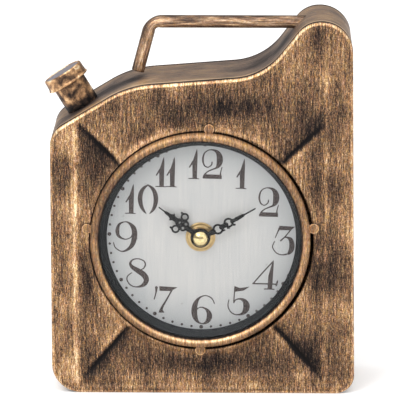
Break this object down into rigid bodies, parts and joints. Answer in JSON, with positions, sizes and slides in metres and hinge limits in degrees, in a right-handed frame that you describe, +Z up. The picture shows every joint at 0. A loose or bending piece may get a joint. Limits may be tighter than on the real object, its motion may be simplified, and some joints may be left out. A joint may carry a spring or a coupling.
{
  "type": "table clock",
  "caption": "Quartz table clock in a fuel-can shaped bronze metal case, with a tube handle, a capped filler neck and a round glazed dial.",
  "frame": {"origin": "middle of the flat bottom that the can stands on", "axes": "+Z up, +X to the right seen from the front, the dial faces -Y"},
  "size_m": [0.1753, 0.064, 0.2135],
  "materials": {
    "bronze_front": "dark bronze paint dry-brushed with copper, satin",
    "bronze_band": "smooth dark bronze paint, brushed along the band",
    "bronze_back": "dark bronze paint, dry-brushed with copper, satin",
    "bronze_handle": "bronze paint brushed along the bar",
    "bronze_neck": "mottled dark bronze paint",
    "bronze_cap": "mottled bronze paint with a pale worn rim",
    "bronze_bezel": "copper paint with a bright worn bead",
    "glass": "clear flat glass",
    "reflector": "dark grey moulded ring",
    "dial": "silvery grey dial, faintly brushed, printed dark numerals",
    "cup": "black painted sheet",
    "rubber": "black rubber",
    "brass": "polished brass",
    "dome_brass": "bright polished brass",
    "black_case": "black moulded plastic, fine texture",
    "knob": "black moulded plastic with grip flutes",
    "white_gear": "natural white acetal",
    "bridge": "off-white plastic",
    "board": "green solder mask",
    "epoxy": "black epoxy",
    "steel": "plain steel",
    "crystal_can": "bright metal can",
    "copper_wire": "enamelled copper wire",
    "contact": "nickel-plated strip",
    "cell": "printed sleeve with plain bands",
    "magnet": "dark sintered magnet",
    "hand": "black lacquer"
  },
  "bodies": {
    "can": {"can_band": "bronze_band", "front_panel": "bronze_front", "back_panel": "bronze_back", "handle": "bronze_handle", "filler_neck": "bronze_neck", "bezel_ring": "bronze_bezel", "glass_lens": "glass", "reflector_ring": "reflector", "dial_plate": "dial", "dial_case": "cup", "rubber_washer": "rubber", "brass_washer": "brass", "hex_nut": "brass", "threaded_bush": "brass", "movement_case": "black_case", "movement_cover": "black_case", "train_bridge": "bridge", "circuit_board": "board", "chip_cap": "epoxy", "quartz_crystal": "crystal_can", "coil_core": "steel", "coil_winding": "copper_wire", "stator_plate": "steel", "contact_plus": "contact", "contact_minus": "contact"},
    "cap": {"filler_cap": "bronze_cap"},
    "battery": {"battery_cell": "cell"},
    "rotor": {"rotor_magnet": "magnet", "rotor_pinion": "white_gear"},
    "intermediate": {"intermediate_wheel": "white_gear", "intermediate_arbor": "white_gear"},
    "second": {"second_wheel": "white_gear", "second_arbor": "white_gear"},
    "third": {"third_wheel": "white_gear", "third_arbor": "white_gear"},
    "centre": {"centre_wheel": "white_gear"},
    "minute": {"minute_arbor": "brass", "minute_hand": "hand", "hand_nut": "dome_brass"},
    "motion": {"motion_wheel": "white_gear"},
    "hour": {"hour_wheel": "white_gear", "hour_hand": "hand"},
    "setting": {"setting_pinion": "white_gear", "setting_knob": "knob"}
  },
  "joints": [
    {"name": "cap_pull", "type": "slide", "parent": "can", "child": "cap", "axis": [-0.5225, 0, 0.8526], "range_m": [0, 0.02]},
    {"name": "battery_slide", "type": "slide", "parent": "can", "child": "battery", "axis": [0, 1, 0], "range_m": [0, 0.03]},
    {"name": "minute_turn", "type": "hinge", "parent": "can", "child": "minute", "pos_m": [-0.0009, 0, 0.0894], "axis": [0, 1, 0], "continuous": true},
    {"name": "hour_turn", "type": "hinge", "parent": "can", "child": "hour", "pos_m": [-0.0009, 0, 0.0894], "axis": [0, 1, 0], "continuous": true},
    {"name": "motion_turn", "type": "hinge", "parent": "can", "child": "motion", "pos_m": [0.00812, 0, 0.09268], "axis": [0, 1, 0], "continuous": true},
    {"name": "setting_turn", "type": "hinge", "parent": "can", "child": "setting", "pos_m": [0.01758, 0, 0.09102], "axis": [0, 1, 0], "continuous": true},
    {"name": "rotor_turn", "type": "hinge", "parent": "can", "child": "rotor", "pos_m": [0.01152, 0, 0.10511], "axis": [0, 1, 0], "continuous": true},
    {"name": "intermediate_turn", "type": "hinge", "parent": "can", "child": "intermediate", "pos_m": [0.00702, 0, 0.09732], "axis": [0, 1, 0], "continuous": true},
    {"name": "second_turn", "type": "hinge", "parent": "can", "child": "second", "pos_m": [-0.0009, 0, 0.0894], "axis": [0, 1, 0], "continuous": true},
    {"name": "third_turn", "type": "hinge", "parent": "can", "child": "third", "pos_m": [-0.00854, 0, 0.09704], "axis": [0, 1, 0], "continuous": true},
    {"name": "centre_turn", "type": "hinge", "parent": "can", "child": "centre", "pos_m": [-0.0009, 0, 0.0894], "axis": [0, 1, 0], "continuous": true}
  ],
  "couplings": [
    {"joint": "motion_turn", "follows": "minute_turn", "ratio": -0.33333},
    {"joint": "hour_turn", "follows": "minute_turn", "ratio": 0.083333},
    {"joint": "setting_turn", "follows": "minute_turn", "ratio": 1},
    {"joint": "intermediate_turn", "follows": "rotor_turn", "ratio": -0.2},
    {"joint": "second_turn", "follows": "rotor_turn", "ratio": 0.033333},
    {"joint": "third_turn", "follows": "rotor_turn", "ratio": -0.0044444},
    {"joint": "centre_turn", "follows": "rotor_turn", "ratio": 0.00055556}
  ]
}
